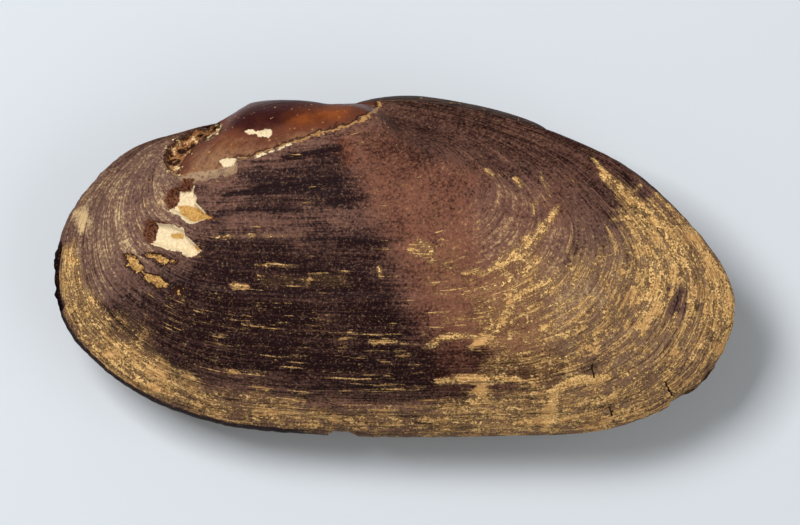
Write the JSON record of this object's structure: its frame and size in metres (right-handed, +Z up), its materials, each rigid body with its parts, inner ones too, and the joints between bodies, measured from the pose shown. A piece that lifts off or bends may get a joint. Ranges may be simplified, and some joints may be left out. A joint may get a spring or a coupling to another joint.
{
  "type": "freshwater pearl mussel shell",
  "caption": "Closed freshwater pearl mussel, two long domed valves joined by a dark hinge ligament, with worn beaks, pits and growth ledges, lying on its side.",
  "frame": {"origin": "on the surface the shell lies on, under the middle of its bounding box", "axes": "+X to the posterior end, +Y to the dorsal edge with the hinge, +Z up, out of the left valve"},
  "size_m": [0.1198, 0.0598, 0.0364],
  "materials": {
    "left_valve_skin": "dark brown skin over chalky shell, satin, with ochre mud",
    "right_valve_skin": "dark brown skin over chalky shell, satin, with ochre mud",
    "ligament": "dark, horny, satin"
  },
  "bodies": {
    "root": {"left_valve": "left_valve_skin", "right_valve": "right_valve_skin", "hinge_ligament": "ligament"}
  },
  "joints": []
}
